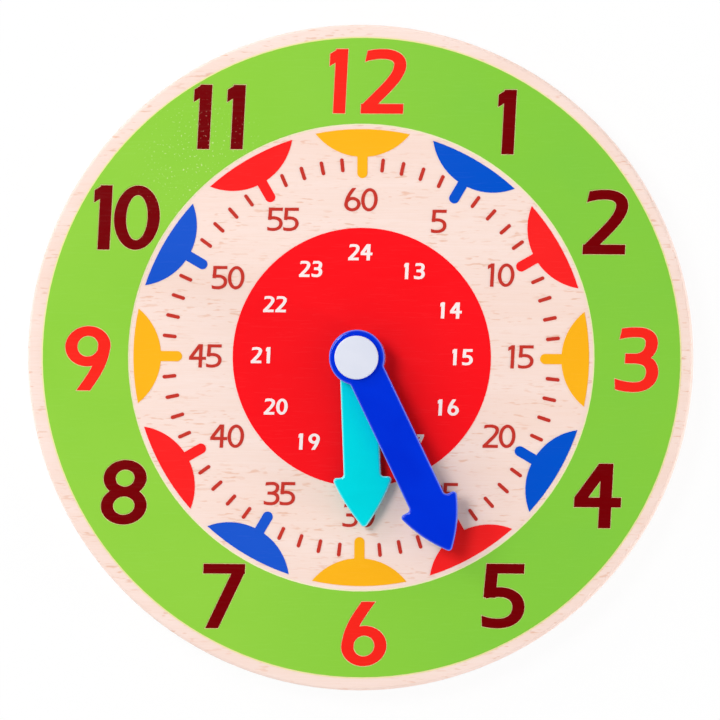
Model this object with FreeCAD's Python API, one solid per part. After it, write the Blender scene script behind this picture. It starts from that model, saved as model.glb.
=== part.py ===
import FreeCAD, Part
import math
import os

# A geared teaching clock: a round beech board with a printed dial and two moulded hands.
# The board lies on its back. Z is the line of the centre arbor and +Y points at the 12.
# A gear train in a pocket behind the dial turns the hour hand once for twelve turns of the
# minute hand. All sizes are millimetres, and z = 0 is the flat back of the board.

V = FreeCAD.Vector

# Board
board_radius = 70.0
board_thickness = 8.0
board_edge_round = 0.6
front_web = 2.2  # wood left in front of the gear pocket

# Printed dial. Its circles are worked out inwards from the circle of the hour numerals.
print_offset_x = 0.4  # the print sits this far to the right of the board's middle
coat_outer = 67.5  # pale base coat under the green ring
coat_margin = 0.3  # bare coat that shows beside both edges of the green ring
hour_figure_radius = 58.1
green_below = 8.9  # green between the numerals' circle and the inner edge of the ring
marker_gap = 0.85  # bare wood between the base coat and the markers
marker_depth = 5.85  # from a marker's rim to its innermost point, without the stalk
marker_length = 10.3  # from a marker's rim to the end of its stalk
marker_radius = 12.7  # arc of a marker's belly
marker_stalk_width = 2.15
tick_drop = 5.95  # from the markers' rim to the outer ends of the ticks
tick_length = 2.95
tick_width = 0.76
minute_figure_drop = 14.85  # from the markers' rim to the middles of the minute numerals
red_disc_side = 0.16  # the red ink is a little off the rest of the print
red_disc_up = 0.06
red_disc_drop = 5.98  # from those middles to the edge of the red disc
day_figure_drop = 6.02  # from that edge to the middles of the 24-hour numerals
coat_thickness = 0.06
ink_thickness = 0.09
knock_out = 0.14  # bare coat left round each hour numeral

# Numerals: figure height, then stem and bar widths as shares of that height
hour_figure_height = 13.55
hour_figure_pen = (0.188, 0.151)
minute_figure_height = 4.9
minute_figure_pen = (0.148, 0.132)
day_figure_height = 3.4
day_figure_pen = (0.208, 0.165)
figure_lean = 0.045  # sideways shift of a figure's top, as a share of its height
minute_figure_squeeze = 0.072  # the minute numerals' figures all but touch

# The numbers are set by eye, not evenly. For the hours 1 to 12 in turn: how far each stands to
# the right of its even place on the circle, and how far above it.
hour_figure_shift = [
    (1.2, -0.6), (1.0, -0.2), (0.0, 0.0), (-0.2, 0.4), (1.5, 0.45), (1.2, 0.0),
    (0.3, -0.1), (0.6, 0.3), (0.3, -0.6), (0.55, 0.05), (-1.35, 0.1), (0.85, 0.0),
]
minute_figure_shift = [
    (-0.35, 0.0), (0.6, 0.95), (0.5, 0.4), (0.5, 0.3), (0.8, 0.1), (-0.2, 0.0),
    (-0.3, 0.0), (0.65, -0.15), (0.4, 0.1), (0.6, 0.0), (0.0, 0.2), (-0.25, 0.0),
]
day_figure_shift = [
    (0.55, -0.1), (0.55, -0.55), (0.25, 0.25), (0.15, 0.25), (0.6, 0.6), (0.1, 0.3),
    (-0.2, 0.6), (0.5, 0.15), (0.05, 0.35), (0.15, 0.5), (-0.1, 0.2), (-0.25, 0.95),
]

# Hands, with +Y along the hand
hand_thickness = 2.4
hand_top_round = 0.5
hand_corner_round = 0.75
minute_hub_radius = 5.85
minute_hand_reach = 45.3
minute_hand_half_width = 4.0
minute_hand_side = -0.3  # the arm's middle line passes this far beside the hub's middle
minute_head_half_width = 6.65
minute_head_length = 11.35
minute_head_bulge = 0.75  # how far each long side of an arrow head bows out
hour_hub_radius = 5.5
hour_hand_reach = 36.0
hour_hand_half_width = 3.9
hour_hand_side = 0.0
hour_head_half_width = 6.45
hour_head_length = 10.9
hour_head_bulge = 0.5
minute_hand_angle = 154.05  # clockwise from 12, as the hands stand at rest
hour_hand_angle = 177.5

# Gear train
pressure_angle = math.radians(20.0)
driver_module = 0.75
cannon_teeth = 12
minute_wheel_teeth = 36
pinion_teeth = 12
hour_wheel_teeth = 48
pinion_shift = 0.3  # profile shift of both pinions, taken off their wheels
backlash = 0.14
driver_layer = 1.4  # thickness of the cannon pinion and the wheel it drives
hour_layer = 1.4
layer_gap = 0.2

# Arbor, pipe, bush and stud
arbor_radius = 1.5
arbor_flat = 0.35  # depth of the flats that carry the minute hand and the cannon pinion
pipe_radius = 2.5
bush_radius = 4.0
bush_flange_radius = 5.4
bush_flange = 0.9
bush_proud = 0.2  # the bush stands this far into the pocket as a thrust face
stud_radius = 1.0
stud_in_cover = 1.0
stud_in_web = 1.2
cap_radius = 4.58
cap_height = 1.5
cap_crown = 0.18
cap_edge_round = 0.3
cap_bore_depth = 0.9
washer_radius = 4.6
washer_thickness = 0.5
clip_radius = 2.7
clip_thickness = 0.4

# Rear cover and its screws
cover_thickness = 1.4
cover_recess = 0.2  # the cover lies this far inside the back of the board
cover_boss = 0.3
cover_boss_radius = 3.2
cover_ledge = 6.4  # width of the ledge that the cover screws down on
screw_count = 4
screw_radius = 1.1
screw_head_radius = 2.1
screw_length = 5.0

# Clearances
running = 0.05  # radial, between turning parts
seat = 0.02  # radial, between parts that are pushed together
end_float = 0.15  # along the arbor
pocket_clearance = 1.2
cover_clearance = 0.2

# Sizes that follow from those above
green_outer = coat_outer - coat_margin
green_inner = hour_figure_radius - green_below
coat_inner = green_inner - coat_margin
marker_rim = coat_inner - marker_gap
marker_belly = marker_rim - marker_depth
marker_stalk_end = marker_rim - marker_length
tick_outer = marker_rim - tick_drop
tick_inner = tick_outer - tick_length
minute_figure_radius = marker_rim - minute_figure_drop
red_disc_radius = minute_figure_radius - red_disc_drop
day_figure_radius = red_disc_radius - day_figure_drop

centre_distance = driver_module * (cannon_teeth + minute_wheel_teeth) / 2
hour_module = 2 * centre_distance / (pinion_teeth + hour_wheel_teeth)
minute_wheel_reach = driver_module * (minute_wheel_teeth / 2 + 1 - pinion_shift)
hour_wheel_reach = hour_module * (hour_wheel_teeth / 2 + 1 - pinion_shift)
pocket_y = (centre_distance + minute_wheel_reach - hour_wheel_reach) / 2
pocket_radius = (centre_distance + minute_wheel_reach + hour_wheel_reach) / 2 + pocket_clearance
ledge_radius = pocket_radius + cover_ledge
screw_circle = (pocket_radius + ledge_radius) / 2

face_z = board_thickness
pocket_z = board_thickness - front_web
ledge_z = cover_recess + cover_thickness
boss_z = ledge_z + cover_boss
clip_z = boss_z + end_float
driver_z = clip_z + clip_thickness
hour_wheel_z = driver_z + driver_layer + layer_gap
hour_wheel_top = hour_wheel_z + hour_layer
bush_z = pocket_z - bush_proud
flange_z = face_z + bush_flange
hour_hand_z = flange_z + end_float
pipe_top = hour_hand_z + hand_thickness + end_float
washer_z = pipe_top + end_float / 2
minute_hand_z = washer_z + washer_thickness + end_float / 2
cap_z = minute_hand_z + hand_thickness
arbor_bottom = cover_recess + cover_thickness / 2
arbor_top = cap_z + cap_bore_depth - seat
coat_top = face_z + coat_thickness
ink_top = face_z + ink_thickness
day_figure_top = ink_top + ink_thickness
hour_figure_top = coat_top + ink_thickness

# The figures. Each is drawn on a height of 100 with pen strokes: "path" runs through cubic
# curves or straight points, "ring" is an oval, and "fork" is two bowls that meet in a short
# bar. A path may end in a cut at an angle, given in degrees from the baseline, and "clip"
# trims the figure to a stretch of its width. The drawings suit figure_pen; with a bolder or
# lighter pen the same strokes move in or out to fill the box. The 9 is the 6 upside down.
figure_pen = (18.2, 14.5)
FIGURES = {
    "0": {"width": 70, "ring": [(35.0, 50.0, 26.6, 42.8)]},
    "1": {
        "width": 28,
        "path": [[(18.6, 0), (18.6, 100)], [(-4, 80.5), (18.6, 94.6)]],
        "clip": (0, 40),
    },
    "2": {
        "width": 67,
        "path": [
            [
                (4.4, 89.2), (13, 92), (22, 92.9), (31, 92.9),
                (47, 92.9), (58, 86.5), (58, 75.5),
                (58, 62.5), (46.5, 49), (34.5, 36),
                (24.5, 25.5), (14, 14.5), (0, 0),
            ],
            [(0, 7.2), (65.8, 7.2)],
        ],
        "cuts": {0: (80, None)},
        "clip": (0, 80),
    },
    "3": {
        "width": 67,
        "fork": [
            [
                (6.4, 90.3), (15, 92.4), (24, 92.9), (33, 92.9),
                (47.5, 92.9), (55.4, 86), (55.4, 75.6),
                (55.4, 62), (46, 51.8), (29, 51.8),
            ],
            [
                (29, 51.8), (47.5, 51.8), (58.4, 44), (58.4, 30.6),
                (58.4, 15.2), (46.5, 7.1), (31, 7.1),
                (20.5, 7.1), (10.5, 8.8), (1.2, 11.8),
            ],
        ],
        "fork_end": 15.2,
        "cuts": {0: (80, None), 1: (None, 95)},
    },
    "4": {
        "width": 72.7,
        "path": [
            [(48.7, 0), (48.7, 100)],
            [(0, 39.8), (72.7, 39.8)],
            [(5.4, 39.8), (51.2, 106.7)],
        ],
        "clip": (0, 80),
    },
    "5": {
        "width": 67,
        "path": [
            [(3.6, 92.8), (62.8, 92.8)],
            [(12.7, 97), (10.6, 47.4)],
            [
                (3.4, 53.4), (10, 55.2), (17, 56.2), (26, 56.2),
                (44, 56.2), (57, 47), (57, 32),
                (57, 16), (44, 7.1), (25.5, 7.1),
                (16, 7.1), (8.5, 8.3), (0.8, 10.9),
            ],
        ],
        "cuts": {2: (None, 95)},
    },
    "6": {
        "width": 70.5,
        "ring": [(35.2, 31.1, 26.1, 23.9)],
        "path": [[(43.6, 107), (30, 85), (9.2, 62), (9.6, 27)]],
        "clip": (-5, 80),
    },
    "7": {
        "width": 64.9,
        "path": [[(0, 92.8), (64.9, 92.8)], [(14.8, -6), (57.3, 92.8)]],
        "clip": (0, 64.9),
    },
    "8": {"width": 70, "ring": [(35.0, 72.1, 24.4, 20.9), (35.0, 29.0, 26.6, 22.0)]},
}
CURVE_STEPS = 4  # points taken from each cubic curve of a path
RING_POINTS = 24


def tube(outer, inner, z0, z1, x=0.0, y=0.0):
    """A round sleeve, or a plain disc where inner is 0."""
    body = Part.makeCylinder(outer, z1 - z0, V(x, y, z0))
    if inner > 0:
        body = body.cut(Part.makeCylinder(inner, z1 - z0 + 2, V(x, y, z0 - 1)))
    return body


def clock_turn(shape, degrees):
    """Turns a shape clockwise round the arbor, as hours are counted."""
    turned = shape.copy()
    turned.rotate(V(0, 0, 0), V(0, 0, 1), -degrees)
    return turned


def edges_at(shape, z, tolerance=1e-4):
    """The edges that lie whole at one height."""
    found = []
    for edge in shape.Edges:
        box = edge.BoundBox
        if abs(box.ZMin - z) < tolerance and abs(box.ZMax - z) < tolerance:
            found.append(edge)
    return found


def upright_edges(shape):
    """The straight edges that run along Z."""
    found = []
    for edge in shape.Edges:
        box = edge.BoundBox
        if box.ZLength > 1e-3 and box.DiagonalLength - box.ZLength < 1e-4:
            found.append(edge)
    return found


def d_bore(z0, z1, clearance):
    """The space that the flatted end of the arbor fills, grown by a clearance."""
    radius = arbor_radius + clearance
    bore = tube(radius, 0, z0, z1)
    flat = arbor_radius - arbor_flat + clearance
    return bore.cut(Part.makeBox(2 * radius, radius, z1 - z0 + 2, V(-radius, flat, z0 - 1)))


# Board and cover


def screw_places():
    """The middles of the cover's screws, on their circle round the pocket."""
    places = []
    for i in range(screw_count):
        angle = 2 * math.pi * (i + 0.5) / screw_count
        places.append((screw_circle * math.cos(angle), pocket_y + screw_circle * math.sin(angle)))
    return places


def make_board():
    board = tube(board_radius, 0, 0, board_thickness)
    board = board.makeFillet(board_edge_round, edges_at(board, 0) + edges_at(board, board_thickness))
    cuts = [
        tube(pocket_radius, 0, -1, pocket_z, 0, pocket_y),
        tube(ledge_radius, 0, -1, ledge_z, 0, pocket_y),
        tube(bush_radius + seat, 0, pocket_z - 1, board_thickness + 1),
        tube(stud_radius + seat, 0, pocket_z - 1, pocket_z + stud_in_web + seat, 0, centre_distance),
    ]
    for x, y in screw_places():
        cuts.append(tube(screw_radius + seat, 0, ledge_z - 1, cover_recess + screw_length + end_float, x, y))
    return board.cut(cuts)


def make_rear_cover():
    cover = tube(ledge_radius - cover_clearance, 0, cover_recess, ledge_z, 0, pocket_y)
    cover = cover.makeChamfer(cover_thickness / 6, edges_at(cover, cover_recess))
    cover = cover.fuse(tube(cover_boss_radius, 0, ledge_z, boss_z))
    cover = cover.fuse(tube(cover_boss_radius, 0, ledge_z, boss_z, 0, centre_distance))
    cuts = [
        tube(arbor_radius + running, 0, arbor_bottom - seat, boss_z + 1),
        tube(stud_radius + seat, 0, boss_z - stud_in_cover - seat, boss_z + 1, 0, centre_distance),
    ]
    for x, y in screw_places():
        cuts.append(tube(screw_radius + seat, 0, 0, ledge_z + 1, x, y))
        cuts.append(screw_head(x, y, seat))
    return cover.cut(cuts)


def screw_head(x, y, clearance):
    """The countersunk head of a screw whose top is level with the back of the cover."""
    depth = screw_head_radius - screw_radius
    wide = screw_head_radius + clearance
    return Part.makeCone(wide, screw_radius + clearance, depth, V(x, y, cover_recess))


def make_cover_screws():
    """Countersunk cross-head screws, each with a point."""
    screws = []
    point = 2 * screw_radius
    slot_width = 0.5
    slot_depth = 0.55
    for x, y in screw_places():
        shank = tube(screw_radius, 0, cover_recess, cover_recess + screw_length - point, x, y)
        tip = Part.makeCone(screw_radius, 0.2, point, V(x, y, cover_recess + screw_length - point))
        screw = screw_head(x, y, 0).fuse([shank, tip])
        reach = screw_head_radius * 1.3
        for w, h in ((reach, slot_width), (slot_width, reach)):
            screw = screw.cut(Part.makeBox(w, h, slot_depth, V(x - w / 2, y - h / 2, cover_recess)))
        screws.append(screw.removeSplitter())
    return Part.makeCompound(screws)


# Gear train


def involute(angle):
    return math.tan(angle) - angle


def polar(radius, angle):
    return V(radius * math.cos(angle), radius * math.sin(angle), 0)


def gear(teeth, module, shift, z0, z1, first_tooth):
    """A spur gear round Z. first_tooth is the direction of one tooth's middle, in degrees."""
    pitch = module * teeth / 2
    base = pitch * math.cos(pressure_angle)
    tip = pitch + module * (1 + shift)
    root = pitch - module * (1.25 - shift)
    tooth = module * (math.pi / 2 + 2 * shift * math.tan(pressure_angle)) - backlash / 2
    half = tooth / (2 * pitch) + involute(pressure_angle)
    low = max(base, root)
    steps = 5
    radii = [low + (tip - low) * i / (steps - 1) for i in range(steps)]
    flank = [(r, half - involute(math.acos(min(1.0, base / r)))) for r in radii]
    edges = []
    for k in range(teeth):
        middle = math.radians(first_tooth) + 2 * math.pi * k / teeth
        up = [polar(r, middle - a) for r, a in flank]
        down = [polar(r, middle + a) for r, a in reversed(flank)]
        foot_in = polar(root, middle - flank[0][1])
        foot_out = polar(root, middle + flank[0][1])
        next_foot = polar(root, middle + 2 * math.pi / teeth - flank[0][1])
        if root < base:
            edges.append(Part.LineSegment(foot_in, up[0]).toShape())
        edges.append(smooth(up))
        edges.append(Part.Arc(up[-1], polar(tip, middle), down[0]).toShape())
        edges.append(smooth(down))
        if root < base:
            edges.append(Part.LineSegment(down[-1], foot_out).toShape())
        edges.append(Part.Arc(foot_out, polar(root, middle + math.pi / teeth), next_foot).toShape())
    blank = Part.Face(Part.Wire(edges)).extrude(V(0, 0, z1 - z0))
    blank.translate(V(0, 0, z0))
    return blank


def smooth(points, closed=False):
    """One curve through all the points."""
    curve = Part.BSplineCurve()
    curve.interpolate(points, PeriodicFlag=closed)
    return curve.toShape()


def lightening_holes(count, radius, circle, z0, z1):
    """Round holes on a circle, which take weight out of a wheel."""
    holes = []
    for i in range(count):
        angle = 2 * math.pi * i / count
        holes.append(tube(radius, 0, z0 - 1, z1 + 1, circle * math.cos(angle), circle * math.sin(angle)))
    return holes


def make_cannon_pinion():
    pinion = gear(cannon_teeth, driver_module, pinion_shift, driver_z, driver_z + driver_layer, 90)
    return pinion.cut(d_bore(driver_z - 1, driver_z + driver_layer + 1, seat))


def make_transfer_gear():
    """The wheel that the cannon pinion drives, moulded with the pinion that drives the hour wheel."""
    wheel_top = driver_z + driver_layer
    half_pitch = 180.0 / minute_wheel_teeth
    wheel = gear(minute_wheel_teeth, driver_module, -pinion_shift, driver_z, wheel_top, 270 + half_pitch)
    pinion = gear(pinion_teeth, hour_module, pinion_shift, wheel_top, hour_wheel_top, 270)
    hub = tube(cover_boss_radius, 0, boss_z + end_float, driver_z)
    rim = driver_module * (minute_wheel_teeth / 2 - 2.5)
    hole_circle = (rim + hour_module * pinion_teeth / 2 + hour_module) / 2
    hole = (rim - hole_circle) * 0.75
    body = wheel.cut(lightening_holes(6, hole, hole_circle, driver_z, wheel_top))
    body = body.fuse([pinion, hub])
    body = body.cut(tube(stud_radius + running, 0, 0, board_thickness))
    body.translate(V(0, centre_distance, 0))
    return body.removeSplitter()


def make_hour_wheel():
    """The wheel and its pipe, which runs in the bush and carries the hour hand."""
    half_pitch = 180.0 / hour_wheel_teeth
    wheel = gear(hour_wheel_teeth, hour_module, -pinion_shift, hour_wheel_z, hour_wheel_top, 90 + half_pitch)
    rim = hour_module * (hour_wheel_teeth / 2 - 2.5)
    hole_circle = (rim + bush_radius + 1) / 2
    hole = (rim - hole_circle) * 0.75
    wheel = wheel.cut(lightening_holes(6, hole, hole_circle, hour_wheel_z, hour_wheel_top))
    pipe = tube(pipe_radius, 0, hour_wheel_top, pipe_top)
    body = wheel.fuse(pipe)
    return body.cut(tube(arbor_radius + running, 0, 0, pipe_top + 1)).removeSplitter()


def make_wheel_stud():
    bottom = boss_z - stud_in_cover
    top = pocket_z + stud_in_web
    stud = tube(stud_radius, 0, bottom, top, 0, centre_distance)
    return stud.makeChamfer(stud_radius / 5, edges_at(stud, bottom) + edges_at(stud, top))


def make_centre_bush():
    """The flanged bush in the board, with a running bore for the hour wheel's pipe."""
    bush = tube(bush_radius, 0, bush_z, flange_z).fuse(tube(bush_flange_radius, 0, face_z, flange_z))
    bush = bush.removeSplitter()
    bush = bush.makeFillet(bush_flange / 3, edges_at(bush, flange_z))
    return bush.cut(tube(pipe_radius + running, 0, bush_z - 1, flange_z + 1))


def make_centre_arbor():
    """The steel arbor. A flat at each end runs out to the tip, so that parts slide on."""
    arbor = tube(arbor_radius, 0, arbor_bottom, arbor_top)
    arbor = arbor.makeChamfer(arbor_radius / 6, edges_at(arbor, arbor_bottom) + edges_at(arbor, arbor_top))
    cheek = arbor_radius - arbor_flat
    side = 2 * arbor_radius
    shoulder = driver_z + driver_layer
    low_flat = Part.makeBox(side, side, shoulder, V(-arbor_radius, cheek, 0))
    high_flat = Part.makeBox(side, side, arbor_top, V(-arbor_radius, cheek, minute_hand_z))
    return arbor.cut([low_flat, high_flat])


def make_pinion_clip():
    """A push-on ring behind the cannon pinion, with six notches that let its teeth spring."""
    ring = tube(clip_radius, arbor_radius + seat, clip_z, driver_z)
    notch = 0.4
    depth = (clip_radius - arbor_radius) / 2
    for i in range(6):
        tooth = Part.makeBox(arbor_radius + depth, notch, clip_thickness + 2, V(0, -notch / 2, clip_z - 1))
        tooth.rotate(V(0, 0, 0), V(0, 0, 1), 60 * i)
        ring = ring.cut(tooth)
    return ring


# Hands


def hand_blank(hub_radius, reach, half_width, side, head_half_width, head_length, head_bulge, z0):
    """A moulded hand that points along +Y, with a round hub and an arrow head."""
    neck_y = reach - head_length
    length = math.hypot(head_half_width, head_length)
    bow_x = head_half_width / 2 + head_bulge * head_length / length
    bow_y = neck_y + head_length / 2 + head_bulge * head_half_width / length

    def half(sign):
        x = side + sign * half_width
        join = V(x, math.sqrt(hub_radius**2 - x**2), z0)
        barb = V(side + sign * head_half_width, neck_y, z0)
        return join, V(x, neck_y, z0), barb, V(side + sign * bow_x, bow_y, z0)

    right = half(1)
    left = half(-1)
    tip = V(side, reach, z0)
    outline = [
        Part.LineSegment(right[0], right[1]).toShape(),
        Part.LineSegment(right[1], right[2]).toShape(),
        Part.Arc(right[2], right[3], tip).toShape(),
        Part.Arc(tip, left[3], left[2]).toShape(),
        Part.LineSegment(left[2], left[1]).toShape(),
        Part.LineSegment(left[1], left[0]).toShape(),
        Part.Arc(left[0], V(0, -hub_radius, z0), right[0]).toShape(),
    ]
    hand = Part.Face(Part.Wire(outline)).extrude(V(0, 0, hand_thickness))
    hand = hand.makeFillet(hand_corner_round, upright_edges(hand))
    hand = hand.makeFillet(hand_top_round, edges_at(hand, z0 + hand_thickness))
    return hand.makeChamfer(hand_top_round / 3, edges_at(hand, z0))


def make_minute_hand():
    arm = (minute_hub_radius, minute_hand_reach, minute_hand_half_width, minute_hand_side)
    head = (minute_head_half_width, minute_head_length, minute_head_bulge)
    hand = clock_turn(hand_blank(*arm, *head, minute_hand_z), minute_hand_angle)
    return hand.cut(d_bore(minute_hand_z - 1, minute_hand_z + hand_thickness + 1, seat))


def make_hour_hand():
    arm = (hour_hub_radius, hour_hand_reach, hour_hand_half_width, hour_hand_side)
    head = (hour_head_half_width, hour_head_length, hour_head_bulge)
    hand = clock_turn(hand_blank(*arm, *head, hour_hand_z), hour_hand_angle)
    return hand.cut(tube(pipe_radius + seat, 0, hour_hand_z - 1, hour_hand_z + hand_thickness + 1))


def make_arbor_cap():
    """The white button on the end of the arbor, with a slightly crowned top."""
    rim_top = cap_z + cap_height - cap_crown
    crown_radius = (cap_radius**2 + cap_crown**2) / (2 * cap_crown)
    ball = Part.makeSphere(crown_radius, V(0, 0, cap_z + cap_height - crown_radius))
    cap = tube(cap_radius, 0, cap_z, cap_z + cap_height).common(ball)
    cap = cap.makeFillet(cap_edge_round, edges_at(cap, rim_top, 1e-3))
    return cap.cut(d_bore(cap_z - 1, cap_z + cap_bore_depth, seat))


def make_hand_washer():
    return tube(washer_radius, arbor_radius + running, washer_z, washer_z + washer_thickness)


# Figures


def cubic(a, b, c, d, t):
    """A point and a direction on a cubic curve."""
    s = 1 - t
    point = [s**3 * a[i] + 3 * s * s * t * b[i] + 3 * s * t * t * c[i] + t**3 * d[i] for i in (0, 1)]
    slope = [s * s * (b[i] - a[i]) + 2 * s * t * (c[i] - b[i]) + t * t * (d[i] - c[i]) for i in (0, 1)]
    return point, slope


def sample_path(points):
    """Points and directions along a pen path: straight where it has two points, else cubic."""
    if len(points) == 2:
        (x0, y0), (x1, y1) = points
        slope = (x1 - x0, y1 - y0)
        return [((x0, y0), slope), ((x1, y1), slope)]
    samples = [cubic(*points[0:4], 0.0)]
    for k in range(0, len(points) - 1, 3):
        samples += [cubic(*points[k:k + 4], (i + 1) / CURVE_STEPS) for i in range(CURVE_STEPS)]
    return samples


def pen_sides(points, cuts, pen, grow, place):
    """Both sides of the stroke that a pen of width pen[0] across and pen[1] high leaves."""
    left, right = [], []
    samples = sample_path(points)
    last = len(samples) - 1
    for i, ((x, y), (dx, dy)) in enumerate(samples):
        length = math.hypot(dx, dy)
        tx, ty = dx / length, dy / length
        nx, ny = -ty, tx
        half = math.hypot(pen[0] * nx, pen[1] * ny) / 2 + grow
        end = -1 if i == 0 else 1 if i == last else 0
        x, y = x + tx * grow * end, y + ty * grow * end
        slide = 0.0
        cut = cuts[0] if i == 0 else cuts[1] if i == last else None
        if cut is not None:
            cx, cy = math.cos(math.radians(cut)), math.sin(math.radians(cut))
            slide = half * (cx * tx + cy * ty) / (cx * nx + cy * ny)
        left.append(place(x + nx * half + tx * slide, y + ny * half + ty * slide))
        right.append(place(x - nx * half - tx * slide, y - ny * half - ty * slide))
    return left, right


def pen_face(points, cuts, pen, grow, place):
    """The face that a pen leaves along one path."""
    left, right = pen_sides(points, cuts, pen, grow, place)
    across = Part.LineSegment(left[-1], right[-1]).toShape()
    back = Part.LineSegment(right[0], left[0]).toShape()
    return Part.Face(Part.Wire([edge_through(left), across, edge_through(right[::-1]), back]))


def trim_at_crossing(first, second):
    """Two chains of points cut where they cross: the start of the first, the end of the second."""
    for i in range(len(first) - 1):
        a, u = first[i], first[i + 1] - first[i]
        for j in range(len(second) - 1):
            b, v = second[j], second[j + 1] - second[j]
            turn = u.x * v.y - u.y * v.x
            if abs(turn) < 1e-9:
                continue
            s = ((b.x - a.x) * v.y - (b.y - a.y) * v.x) / turn
            t = ((b.x - a.x) * u.y - (b.y - a.y) * u.x) / turn
            if 0 < s < 1 and 0 < t < 1:
                return first[:i + 1] + [a + u * s], [a + u * s] + second[j + 1:]
    return first, second


def fork_face(upper, lower, bar_end, cuts, pen, grow, place):
    """Two bowls that run back to back into a bar, as one outline without the overlap."""
    outer_up, inner_up = pen_sides(upper, cuts[0], pen, grow, place)
    outer_low, inner_low = pen_sides(lower, cuts[1], pen, grow, place)
    outer_up, outer_low = trim_at_crossing(outer_up, outer_low)
    (x, y), half = upper[-1], pen[1] / 2 + grow
    bar = [inner_low[0], place(bar_end - grow, y - half), place(bar_end - grow, y + half), inner_up[-1]]
    edges = [smooth(outer_up), smooth(outer_low)]
    edges.append(Part.LineSegment(outer_low[-1], inner_low[-1]).toShape())
    edges.append(smooth(inner_low[::-1]))
    edges += [Part.LineSegment(bar[k], bar[k + 1]).toShape() for k in range(3)]
    edges.append(smooth(inner_up[::-1]))
    edges.append(Part.LineSegment(inner_up[0], outer_up[0]).toShape())
    return Part.Face(Part.Wire(edges))


def edge_through(points):
    if len(points) == 2:
        return Part.LineSegment(points[0], points[1]).toShape()
    return smooth(points)


def ring_face(cx, cy, rx, ry, pen, grow, place):
    """An oval drawn with the pen: a face with an oval hole."""
    wires = []
    for side in (1, -1):
        wide = rx + side * (pen[0] / 2 + grow)
        high = ry + side * (pen[1] / 2 + grow)
        angles = [2 * math.pi * i / RING_POINTS for i in range(RING_POINTS)]
        points = [place(cx + wide * math.cos(a), cy + high * math.sin(a)) for a in angles]
        wires.append(Part.Wire(smooth(points, closed=True)))
    return Part.Face(wires[0]).cut(Part.Face(wires[1]))


def stroke_middle(v, size, drawn, wanted):
    """Moves a stroke drawn for one pen width so that with another it still reaches the same box."""
    if v <= 0 or v >= size:
        return v
    if v < drawn / 2:
        return v * wanted / drawn
    if v > size - drawn / 2:
        return size - (size - v) * wanted / drawn
    return wanted / 2 + (v - drawn / 2) * (size - wanted) / (size - drawn)


def figure_solid(figure, height, pen, grow, z0, z1):
    """One figure as a solid with its lower left corner at the origin. grow fattens it all round.

    The figure is put together on its drawn height of 100 and brought to size at the end.
    """
    scale = height / 100.0
    upside_down = figure == "9"
    drawing = FIGURES["6" if upside_down else figure]
    width = drawing["width"]
    cuts = drawing.get("cuts", {})
    fat = grow / scale
    pen = (pen[0] * 100, pen[1] * 100)
    depth = V(0, 0, (z1 - z0) / scale)

    def refit(x, y):
        return stroke_middle(x, width, figure_pen[0], pen[0]), stroke_middle(y, 100, figure_pen[1], pen[1])

    def place(x, y):
        if upside_down:
            x, y = width - x, 100 - y
        return V(x + figure_lean * y, y, 0)

    faces = []
    for cx, cy, rx, ry in drawing.get("ring", []):
        (x0, y0), (x1, y1) = refit(cx - rx, cy - ry), refit(cx + rx, cy + ry)
        oval = ((x0 + x1) / 2, (y0 + y1) / 2, (x1 - x0) / 2, (y1 - y0) / 2)
        faces.append(ring_face(*oval, pen, fat, place))
    for i, path in enumerate(drawing.get("path", [])):
        faces.append(pen_face([refit(x, y) for x, y in path], cuts.get(i, (None, None)), pen, fat, place))
    if "fork" in drawing:
        upper, lower = [[refit(x, y) for x, y in path] for path in drawing["fork"]]
        faces.append(fork_face(upper, lower, drawing["fork_end"], cuts, pen, fat, place))
    solids = [face.extrude(depth) for face in faces]
    body = solids[0].fuse(solids[1:]) if len(solids) > 1 else solids[0]
    if "clip" in drawing:
        x0, x1 = drawing["clip"]
        box = [(x0 - fat, -fat), (x1 + fat, -fat), (x1 + fat, 100 + fat), (x0 - fat, 100 + fat)]
        corners = [place(x, y) for x, y in box]
        body = body.common(Part.Face(Part.makePolygon(corners + corners[:1])).extrude(depth))
    body = body.removeSplitter()
    body.scale(scale)
    body.translate(V(0, 0, z0))
    return body


def figure_width(figure):
    return FIGURES["6" if figure == "9" else figure]["width"] / 100.0


def gap_after(label, index):
    """The space after one figure of a label, as a share of the figures' height."""
    pair = label[index:index + 2]
    plain, beside_one = 0.09, 0.24
    return beside_one if "1" in pair else plain


def label_solids(label, height, pen, x, y, z0, z1, grow=0.0, squeeze=0.0):
    """The solids of one number, centred on a point. squeeze closes up its figures."""
    gaps = [(gap_after(label, i) - squeeze) * height for i in range(len(label) - 1)]
    widths = [figure_width(f) * height for f in label]
    left = x - (sum(widths) + sum(gaps) + figure_lean * height) / 2
    solids = []
    for i, figure in enumerate(label):
        solid = figure_solid(figure, height, pen, grow, z0, z1)
        solid.translate(V(left, y - height / 2, 0))
        solids.append(solid)
        left += widths[i] + (gaps[i] if i < len(gaps) else 0)
    return solids


def dial_place(radius, hour, shifts):
    """Where a number stands: on its circle, hour counted clockwise from 12, plus its own shift."""
    angle = math.radians(30 * hour)
    right, up = shifts[hour - 1]
    return print_offset_x + radius * math.sin(angle) + right, radius * math.cos(angle) + up


def hour_figures(hours, grow, z0, z1):
    """The large numerals. The 12 and the 11 have wide gaps, and the 10 a narrow one."""
    solids = []
    for hour in hours:
        x, y = dial_place(hour_figure_radius, hour, hour_figure_shift)
        squeeze = 0.19 if hour == 10 else 0.0
        solids += label_solids(str(hour), hour_figure_height, hour_figure_pen, x, y, z0, z1, grow, squeeze)
    return solids


# Printed dial


def make_base_coat():
    return tube(coat_outer, coat_inner, face_z, coat_top, print_offset_x)


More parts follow.
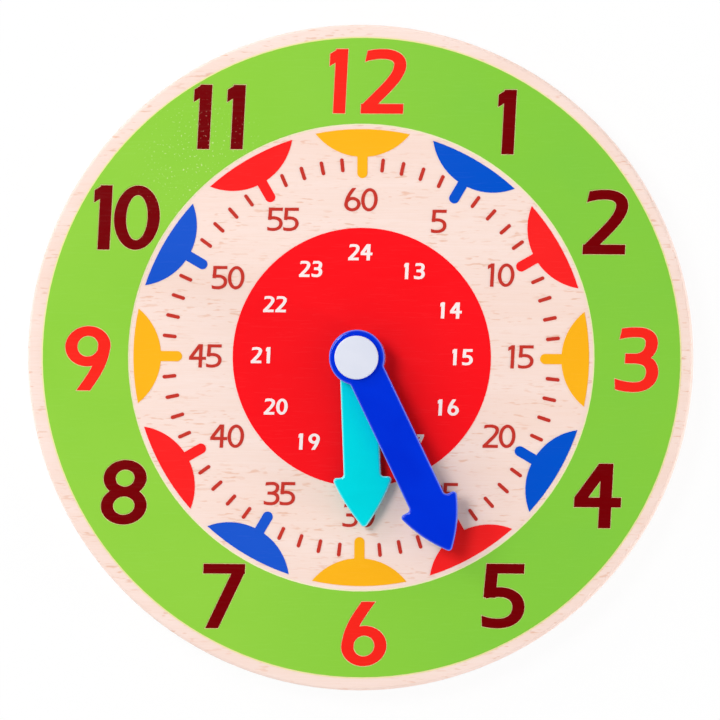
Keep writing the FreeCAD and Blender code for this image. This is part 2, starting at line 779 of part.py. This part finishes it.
def make_green_ring():
    """The green ring, with an opening round each hour numeral that shows the base coat."""
    ring = tube(green_outer, green_inner, coat_top, coat_top + ink_thickness, print_offset_x)
    openings = hour_figures(range(1, 13), knock_out, coat_top - 1, coat_top + 1)
    return ring.cut(openings)


def make_red_disc():
    disc = tube(red_disc_radius, 0, face_z, ink_top, print_offset_x + red_disc_side, red_disc_up)
    return disc.cut(tube(bush_flange_radius + cover_clearance, 0, face_z - 1, ink_top + 1))


def marker(hour):
    """A coloured segment of a disc whose stalk points at the middle of the dial."""
    belly = tube(marker_radius, 0, face_z, ink_top, 0, marker_belly + marker_radius)
    belly = belly.common(tube(marker_rim, 0, face_z, ink_top))
    half = marker_stalk_width / 2
    bar_y = marker_stalk_end + half
    bar = Part.makeBox(2 * half, marker_belly + half - bar_y, ink_thickness, V(-half, bar_y, face_z))
    shape = belly.fuse([bar, tube(half, 0, face_z, ink_top, 0, bar_y)]).removeSplitter()
    shape = clock_turn(shape, 30 * hour)
    shape.translate(V(print_offset_x, 0, 0))
    return shape


def tick(minute):
    """A short line with round ends."""
    half = tick_width / 2
    length = tick_outer - tick_inner - tick_width
    bar = Part.makeBox(tick_width, length, ink_thickness, V(-half, tick_inner + half, face_z))
    ends = [tube(half, 0, face_z, ink_top, 0, y) for y in (tick_inner + half, tick_outer - half)]
    shape = clock_turn(bar.fuse(ends).removeSplitter(), 6 * minute)
    shape.translate(V(print_offset_x, 0, 0))
    return shape


def make_minute_figures():
    solids = []
    for hour in range(1, 13):
        x, y = dial_place(minute_figure_radius, hour, minute_figure_shift)
        size = (minute_figure_height, minute_figure_pen)
        solids += label_solids(str(5 * hour), *size, x, y, face_z, ink_top, 0.0, minute_figure_squeeze)
    return Part.makeCompound(solids)


def make_day_figures():
    """The hours from 13 to 24, printed in white on the red disc. From 13 to 19 the gap is wide."""
    solids = []
    size = (day_figure_height, day_figure_pen)
    for hour in range(1, 13):
        x, y = dial_place(day_figure_radius, hour, day_figure_shift)
        label = str(12 + hour)
        squeeze = -0.1 if label < "20" else 0.0
        solids += label_solids(label, *size, x, y, ink_top, day_figure_top, 0.0, squeeze)
    return Part.makeCompound(solids)


QUARTERS = (12, 3, 6, 9)
OTHER_HOURS = [h for h in range(1, 13) if h not in QUARTERS]

NODES = {
    "dial_board": make_board,
    "rear_cover": make_rear_cover,
    "cover_screws": make_cover_screws,
    "centre_bush": make_centre_bush,
    "wheel_stud": make_wheel_stud,
    "centre_arbor": make_centre_arbor,
    "cannon_pinion": make_cannon_pinion,
    "pinion_clip": make_pinion_clip,
    "transfer_gear": make_transfer_gear,
    "hour_wheel": make_hour_wheel,
    "hour_hand": make_hour_hand,
    "hand_washer": make_hand_washer,
    "minute_hand": make_minute_hand,
    "arbor_cap": make_arbor_cap,
    "print_base_coat": make_base_coat,
    "print_green_ring": make_green_ring,
    "print_red_disc": make_red_disc,
    "print_quarter_numerals": lambda: Part.makeCompound(hour_figures(QUARTERS, 0, coat_top, hour_figure_top)),
    "print_hour_numerals": lambda: Part.makeCompound(hour_figures(OTHER_HOURS, 0, coat_top, hour_figure_top)),
    "print_minute_numerals": make_minute_figures,
    "print_day_numerals": make_day_figures,
    "print_minute_ticks": lambda: Part.makeCompound([tick(m) for m in range(60) if m % 5]),
    "print_yellow_markers": lambda: Part.makeCompound([marker(h) for h in QUARTERS]),
    "print_red_markers": lambda: Part.makeCompound([marker(h) for h in (2, 5, 8, 11)]),
    "print_blue_markers": lambda: Part.makeCompound([marker(h) for h in (1, 4, 7, 10)]),
}


def main():
    os.makedirs("parts", exist_ok=True)
    for name, make in NODES.items():
        shape = make()
        shape.exportStep(os.path.join("parts", name + ".step"))
        print(name, len(shape.Solids), "solids", round(shape.Volume, 3), "mm3", "valid", shape.isValid())


main()
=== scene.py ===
import math

import bpy
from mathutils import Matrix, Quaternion, Vector


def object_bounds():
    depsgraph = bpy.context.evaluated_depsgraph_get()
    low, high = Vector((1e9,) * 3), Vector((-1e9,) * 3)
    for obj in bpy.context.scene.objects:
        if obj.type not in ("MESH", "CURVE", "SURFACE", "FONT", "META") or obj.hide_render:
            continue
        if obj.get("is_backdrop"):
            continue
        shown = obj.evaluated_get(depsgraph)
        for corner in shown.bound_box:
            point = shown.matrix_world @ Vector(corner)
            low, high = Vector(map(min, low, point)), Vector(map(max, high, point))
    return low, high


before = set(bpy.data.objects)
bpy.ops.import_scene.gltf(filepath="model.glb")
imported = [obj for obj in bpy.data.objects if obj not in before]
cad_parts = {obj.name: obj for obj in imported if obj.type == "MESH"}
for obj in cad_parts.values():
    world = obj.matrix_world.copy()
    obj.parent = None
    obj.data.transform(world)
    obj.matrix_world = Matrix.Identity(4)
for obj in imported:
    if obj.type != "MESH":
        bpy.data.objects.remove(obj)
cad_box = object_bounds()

# Lengths are metres. The clock lies on its back: X points to its right, Y at the 12 and Z up.
# Colours are display values from 0 to 255.

# Materials

INK_ROUGHNESS = 0.22
INK_IOR = 1.18  # a thin film of ink with little shine
PAINTED_SHADE_ACROSS = (-0.03, 0.03)  # the stretch of X in which an ink's left tone becomes its right one: painted shade, lighter on the left and darker on the right as though lit from the left
COAT_TURNS_YELLOW = (0.0492, 0.0498)  # from the dial's middle, at the green ring's inner edge
WORN_SPOT = (-0.0335, 0.0405)  # the middle of the patch with bare specks, near the 11
WORN_REACH = (0.016, 0.004)  # from that middle: where the specks begin and where they are full
HIGHLIGHT_SLOPE = (0.9, 0.6)  # a painted highlight, a paler tone, lies on a moulding's rounded edges between these slopes
WALL_SLOPE = (0.02, 0.3)  # its upright walls get none

INKS = {
    "ink_cream": {"main": (251, 239, 206), "shade": (248, 235, 190), "outside": (246, 234, 162)},
    "ink_green": {
        "main": (148, 210, 68),
        "shade": (138, 206, 60),
        # painted shade: the green print turns darker towards the right
        "right": (131, 203, 66),
        "specks": (214, 236, 160),
    },
    "ink_red": {"main": (255, 22, 31), "shade": (252, 17, 26)},
    "ink_numeral_red": {"main": (251, 42, 32), "shade": (245, 34, 26)},
    "ink_maroon": {"main": (119, 0, 6), "shade": (110, 0, 4), "specks": (196, 140, 120)},
    "ink_brick": {"main": (200, 57, 46), "shade": (193, 50, 41)},
    "ink_white": {"main": (254, 239, 237), "shade": (249, 231, 229)},
    "ink_yellow": {"main": (254, 184, 31), "shade": (252, 176, 24)},
    "ink_marker_red": {"main": (253, 38, 38), "shade": (246, 28, 30)},
    # painted shade: the blue print turns darker towards the right
    "ink_blue": {"main": (32, 88, 208), "shade": (8, 81, 203), "right": (0, 84, 205)},
}

# The hands are smooth and glossy, so their texture is finer than the others'.
HAND_FINISH = {"roughness": 0.1, "texture": 0.000001, "specular": 0.45}

PLASTICS = {
    "white_plastic": {"main": (223, 226, 239), "shade": (217, 221, 236), "roughness": 0.32},
    "natural_plastic": {"main": (234, 230, 216), "shade": (227, 222, 206), "roughness": 0.42},
    "black_plastic": {
        "main": (42, 43, 46),
        "shade": (35, 36, 39),
        "roughness": 0.55,
        "texture": 0.00003,
    },
    # The edge tones are painted highlights along the hands' rounded edges.
    "blue_plastic": {"main": (0, 51, 222), "shade": (0, 45, 214), "edge": (120, 155, 250), **HAND_FINISH},
    "turquoise_plastic": {
        "main": (0, 226, 234),
        "shade": (0, 220, 229),
        "edge": (185, 246, 250),
        **HAND_FINISH,
    },
}

PIECES = {
    "dial_board": "beech",
    "rear_cover": "black_plastic",
    "cover_screws": "steel",
    "centre_bush": "white_plastic",
    "wheel_stud": "steel",
    "centre_arbor": "steel",
    "cannon_pinion": "natural_plastic",
    "pinion_clip": "steel",
    "transfer_gear": "natural_plastic",
    "hour_wheel": "natural_plastic",
    "hour_hand": "turquoise_plastic",
    "hand_washer": "white_plastic",
    "minute_hand": "blue_plastic",
    "arbor_cap": "white_plastic",
    "print_base_coat": "ink_cream",
    "print_green_ring": "ink_green",
    "print_red_disc": "ink_red",
    "print_quarter_numerals": "ink_numeral_red",
    "print_hour_numerals": "ink_maroon",
    "print_minute_numerals": "ink_brick",
    "print_day_numerals": "ink_white",
    "print_minute_ticks": "ink_brick",
    "print_yellow_markers": "ink_yellow",
    "print_red_markers": "ink_marker_red",
    "print_blue_markers": "ink_blue",
}


def linear(red, green, blue):
    """A display colour as the linear colour that shaders take."""
    def channel(v):
        v /= 255.0
        return v / 12.92 if v <= 0.04045 else ((v + 0.055) / 1.055) ** 2.4
    return (channel(red), channel(green), channel(blue), 1.0)


def map_range(tree, value, low, high, start=0.0, end=1.0):
    """value brought from low..high to start..end, and kept inside it."""
    node = tree.nodes.new("ShaderNodeMapRange")
    node.inputs["From Min"].default_value = low
    node.inputs["From Max"].default_value = high
    node.inputs["To Min"].default_value = start
    node.inputs["To Max"].default_value = end
    tree.links.new(value, node.inputs["Value"])
    return node.outputs["Result"]


def calculate(tree, operation, a, b):
    """operation is ADD or MULTIPLY. b may be a number or a socket."""
    node = tree.nodes.new("ShaderNodeMath")
    node.operation = operation
    tree.links.new(a, node.inputs[0])
    if isinstance(b, float):
        node.inputs[1].default_value = b
    else:
        tree.links.new(b, node.inputs[1])
    return node.outputs["Value"]


class Surface:
    """A material with one Principled shader and short calls for the nodes in front of it."""

    def __init__(self, name, roughness=0.5, specular=0.5):
        self.material = bpy.data.materials.new(name)
        self.material.use_nodes = True
        self.tree = self.material.node_tree
        self.shader = self.tree.nodes["Principled BSDF"]
        self.shader.inputs["Roughness"].default_value = roughness
        self.shader.inputs["Specular IOR Level"].default_value = specular
        self.place = self.tree.nodes.new("ShaderNodeTexCoord").outputs["Object"]

    def link(self, out, socket):
        self.tree.links.new(out, socket)

    def stretched(self, x, y, z=None):
        """Object coordinates times x, y and z. z is the same as y where it isn't given."""
        node = self.tree.nodes.new("ShaderNodeMapping")
        node.inputs["Scale"].default_value = (x, y, y if z is None else z)
        self.link(self.place, node.inputs["Vector"])
        return node.outputs["Vector"]

    def across(self):
        """How far a point lies to the right."""
        node = self.tree.nodes.new("ShaderNodeSeparateXYZ")
        self.link(self.place, node.inputs["Vector"])
        return node.outputs["X"]

    def distance(self, x=0.0, y=0.0):
        """How far a point on the dial lies from x and y."""
        node = self.tree.nodes.new("ShaderNodeVectorMath")
        node.operation = "DISTANCE"
        self.link(self.stretched(1, 1, 0), node.inputs[0])
        node.inputs[1].default_value = (x, y, 0.0)
        return node.outputs["Value"]

    def slope(self):
        """1 where the surface lies flat, less on rounded edges and 0 on upright walls."""
        node = self.tree.nodes.new("ShaderNodeSeparateXYZ")
        facing = self.tree.nodes.new("ShaderNodeNewGeometry")
        self.link(facing.outputs["Normal"], node.inputs["Vector"])
        return node.outputs["Z"]

    def noise(self, where, detail=2.0, rough=0.55, twist=0.0):
        node = self.tree.nodes.new("ShaderNodeTexNoise")
        node.inputs["Scale"].default_value = 1.0
        node.inputs["Detail"].default_value = detail
        node.inputs["Roughness"].default_value = rough
        node.inputs["Distortion"].default_value = twist
        self.link(where, node.inputs["Vector"])
        return node.outputs["Fac"]

    def ramp(self, value, low, high, start=0.0, end=1.0):
        return map_range(self.tree, value, low, high, start, end)

    def times(self, a, b):
        return calculate(self.tree, "MULTIPLY", a, b)

    def plus(self, a, b):
        return calculate(self.tree, "ADD", a, b)

    def mix(self, amount, first, second):
        """first where amount is 0 and second where it is 1. Either may be a colour or a socket."""
        node = self.tree.nodes.new("ShaderNodeMix")
        node.data_type = "RGBA"
        self.link(amount, node.inputs["Factor"])
        for socket, colour in (("A", first), ("B", second)):
            place = [s for s in node.inputs if s.name == socket and s.type == "RGBA"][0]
            if isinstance(colour, tuple):
                place.default_value = linear(*colour)
            else:
                self.link(colour, place)
        return [s for s in node.outputs if s.type == "RGBA"][0]

    def finish(self, colour, roughness, height, depth):
        """Gives the shader its colour and roughness, and a bump as deep as depth."""
        self.link(colour, self.shader.inputs["Base Color"])
        self.link(roughness, self.shader.inputs["Roughness"])
        node = self.tree.nodes.new("ShaderNodeBump")
        node.inputs["Strength"].default_value = 1.0
        node.inputs["Distance"].default_value = depth
        self.link(height, node.inputs["Height"])
        self.link(node.outputs["Normal"], self.shader.inputs["Normal"])
        return self.material


def beech(name):
    """Pale beech, its grain along X: faint bands, fine fibres and short darker flecks."""
    s = Surface(name, specular=0.35)
    bands = s.noise(s.stretched(9, 110), twist=0.6)
    fibres = s.noise(s.stretched(160, 3200))
    flecks = s.noise(s.stretched(450, 2300), detail=1.0, rough=0.4)
    patches = s.noise(s.stretched(70, 260), detail=1.0)
    fleck = s.times(s.ramp(flecks, 0.6, 0.72), s.ramp(patches, 0.38, 0.6))
    plain = s.mix(s.ramp(bands, 0.3, 0.7), (251, 228, 219), (248, 220, 208))
    grained = s.mix(s.ramp(fibres, 0.35, 0.75, 0.0, 0.3), plain, (243, 209, 189))
    tone = s.mix(s.times(fleck, 0.55), grained, (228, 165, 128))
    height = s.plus(s.times(fibres, 0.6), s.times(fleck, -0.8))
    return s.finish(tone, s.ramp(fibres, 0.3, 0.7, 0.44, 0.58), height, 0.00003)


def ink(name, main, shade, right=None, outside=None, specks=None):
    """A screen-printed film: uneven in tone, with the wood's fibres faintly under it.

    right is the tone at the dial's right-hand side, a painted shade that darkens the print away from the
    light on the left, and outside the tone away from its middle.
    specks is the colour of the small bare spots near the 11.
    """
    s = Surface(name)
    s.shader.inputs["IOR"].default_value = INK_IOR
    cloud = s.noise(s.stretched(38, 52), detail=3.0)
    fibres = s.noise(s.stretched(190, 2300))
    # Painted shade: the print turns to its darker right tone across the dial.
    if right:
        main = s.mix(s.ramp(s.across(), *PAINTED_SHADE_ACROSS), main, right)
    if outside:
        main = s.mix(s.ramp(s.distance(), *COAT_TURNS_YELLOW), main, outside)
    tone = s.mix(s.ramp(cloud, 0.34, 0.68, 0.0, 0.5), main, shade)
    if specks:
        dots = s.noise(s.stretched(2100, 2100), detail=0.0)
        worn = s.ramp(s.distance(*WORN_SPOT), *WORN_REACH)
        bare = s.times(s.ramp(dots, 0.71, 0.8), worn)
        tone = s.mix(s.times(bare, 0.7), tone, specks)
    roughness = s.ramp(fibres, 0.3, 0.7, INK_ROUGHNESS - 0.05, INK_ROUGHNESS + 0.08)
    return s.finish(tone, roughness, fibres, 0.000012)


def moulding(name, main, shade, roughness, texture=0.000006, specular=0.3, edge=None):
    """Injection-moulded plastic: faint flow marks in the colour and a fine satin skin.

    texture is the skin's depth, and edge a paler tone painted on the rounded edges as a highlight.
    """
    s = Surface(name, specular=specular)
    flow = s.noise(s.stretched(60, 90), twist=0.8)
    skin = s.noise(s.stretched(2600, 2600))
    tone = s.mix(s.ramp(flow, 0.32, 0.7), main, shade)
    if edge:
        # Painted highlight: a paler tone on the rounded edges, standing in for the shine they catch.
        painted_highlight = s.times(s.ramp(s.slope(), *HIGHLIGHT_SLOPE), s.ramp(s.slope(), *WALL_SLOPE))
        tone = s.mix(s.times(painted_highlight, 0.7), tone, edge)
    return s.finish(tone, s.ramp(skin, 0.3, 0.7, roughness - 0.04, roughness + 0.06), skin, texture)


def steel(name):
    """Bright turned steel with fine marks and a slight variation of polish."""
    s = Surface(name)
    marks = s.noise(s.stretched(900, 900, 9000))
    wear = s.noise(s.stretched(350, 350))
    s.shader.inputs["Metallic"].default_value = 1.0
    tone = s.mix(s.ramp(wear, 0.3, 0.7), (205, 206, 208), (178, 180, 184))
    return s.finish(tone, s.ramp(marks, 0.3, 0.7, 0.22, 0.38), marks, 0.000004)


materials = {"beech": beech("beech")}
materials.update({name: ink(name, **tones) for name, tones in INKS.items()})
materials.update({name: moulding(name, **finish) for name, finish in PLASTICS.items()})
materials["steel"] = steel("steel")

for name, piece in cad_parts.items():
    piece.data.materials.clear()
    piece.data.materials.append(materials[PIECES[name]])


# Floor, light and camera

FLOOR_REACH = 12.0
FLOOR_DROP = 0.0002  # the floor lies this far under the clock
FLOOR_WHITE = 0.92  # share of plain white in the floor that the camera sees. The rest shows the shadow

# Name, place, diameter, watts, and whether glossy surfaces mirror it. All point at the dial's middle.
# The fill lamp is low, so its mirror image would leave a glare on the print.
LAMPS = [
    ("key", (-0.46, 0.32, 1.06), 0.5, 5.6, True),
    ("edge", (-0.62, 0.58, 0.49), 0.3, 1.7, True),
    ("rim", (-0.84, -0.22, 0.45), 0.3, 0.65, True),
    ("fill", (0.76, -0.32, 0.13), 0.2, 2.4, False),
]

CAMERA_TARGET = Vector((0.00021, -0.00051, 0.008))
CAMERA_DISTANCE = 2.5
CAMERA_YAW = math.radians(4.3)  # to the right of straight above the dial
CAMERA_ROLL = math.radians(0.45)
FRAME_WIDTH = 0.1514  # how much of the dial's plane the picture spans
SENSOR_MM = 36.0


def make_floor():
    """A pale floor that the clock lies on. The camera sees it white, with a faint shadow."""
    r = FLOOR_REACH
    mesh = bpy.data.meshes.new("floor")
    mesh.from_pydata([(-r, -r, 0), (r, -r, 0), (r, r, 0), (-r, r, 0)], [], [(0, 1, 2, 3)])
    floor = bpy.data.objects.new("floor", mesh)
    floor.location.z = -FLOOR_DROP
    bpy.context.scene.collection.objects.link(floor)
    s = Surface("floor", roughness=0.9, specular=0.0)
    s.shader.inputs["Base Color"].default_value = (0.97, 0.97, 0.97, 1.0)
    white = s.tree.nodes.new("ShaderNodeEmission")
    path = s.tree.nodes.new("ShaderNodeLightPath")
    seen = s.plus(path.outputs["Is Camera Ray"], path.outputs["Is Glossy Ray"])
    seen = s.plus(seen, path.outputs["Is Transmission Ray"])
    both = s.tree.nodes.new("ShaderNodeMixShader")
    s.link(s.ramp(seen, 0.0, 1.0, 0.0, FLOOR_WHITE), both.inputs["Fac"])
    s.link(s.shader.outputs["BSDF"], both.inputs[1])
    s.link(white.outputs["Emission"], both.inputs[2])
    s.link(both.outputs["Shader"], s.tree.nodes["Material Output"].inputs["Surface"])
    mesh.materials.append(s.material)
    floor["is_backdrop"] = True


def make_world():
    """A studio that is white all round, dimmer higher up, and dark straight above the dial."""
    world = bpy.data.worlds.new("studio")
    bpy.context.scene.world = world
    world.use_nodes = True
    tree = world.node_tree
    place = tree.nodes.new("ShaderNodeTexCoord")
    split = tree.nodes.new("ShaderNodeSeparateXYZ")
    tree.links.new(place.outputs["Generated"], split.inputs["Vector"])
    height = split.outputs["Z"]  # 0 at the horizon and 1 straight above
    dimmer = map_range(tree, height, low=0.08, high=0.95, start=1.0, end=0.35)
    dark_top = map_range(tree, height, low=0.9, high=0.985, start=1.0, end=0.04)
    light = tree.nodes["Background"]
    light.inputs["Color"].default_value = (1.0, 1.0, 1.0, 1.0)
    tree.links.new(calculate(tree, "MULTIPLY", dimmer, dark_top), light.inputs["Strength"])


def make_lamp(name, place, diameter, power, mirrored):
    data = bpy.data.lights.new(name, "AREA")
    data.shape = "DISK"
    data.size = diameter
    data.energy = power
    lamp = bpy.data.objects.new(name, data)
    lamp.location = place
    lamp.rotation_mode = "QUATERNION"
    lamp.rotation_quaternion = (-Vector(place)).to_track_quat("-Z", "Y")
    lamp.visible_glossy = mirrored
    bpy.context.scene.collection.objects.link(lamp)


def make_camera():
    """Looks down on the dial, a little from the right, with the 12 at the top."""
    back = Vector((math.sin(CAMERA_YAW), 0.0, math.cos(CAMERA_YAW)))
    yaw = Quaternion((0.0, 1.0, 0.0), CAMERA_YAW)
    roll = Quaternion((0.0, 0.0, 1.0), CAMERA_ROLL)
    data = bpy.data.cameras.new("camera")
    data.sensor_width = SENSOR_MM
    data.lens = SENSOR_MM * CAMERA_DISTANCE / FRAME_WIDTH
    data.clip_start, data.clip_end = 0.01, 20.0
    camera = bpy.data.objects.new("camera", data)
    camera.location = CAMERA_TARGET + back * CAMERA_DISTANCE
    camera.rotation_mode = "QUATERNION"
    camera.rotation_quaternion = yaw @ roll
    bpy.context.scene.collection.objects.link(camera)
    bpy.context.scene.camera = camera


make_floor()
make_world()
for lamp in LAMPS:
    make_lamp(*lamp)
make_camera()

view = bpy.context.scene.view_settings
view.view_transform = "Standard"

boxes = {"cad": cad_box, "visual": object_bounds()}
boxes = {name: [list(corner) for corner in box] for name, box in boxes.items()}
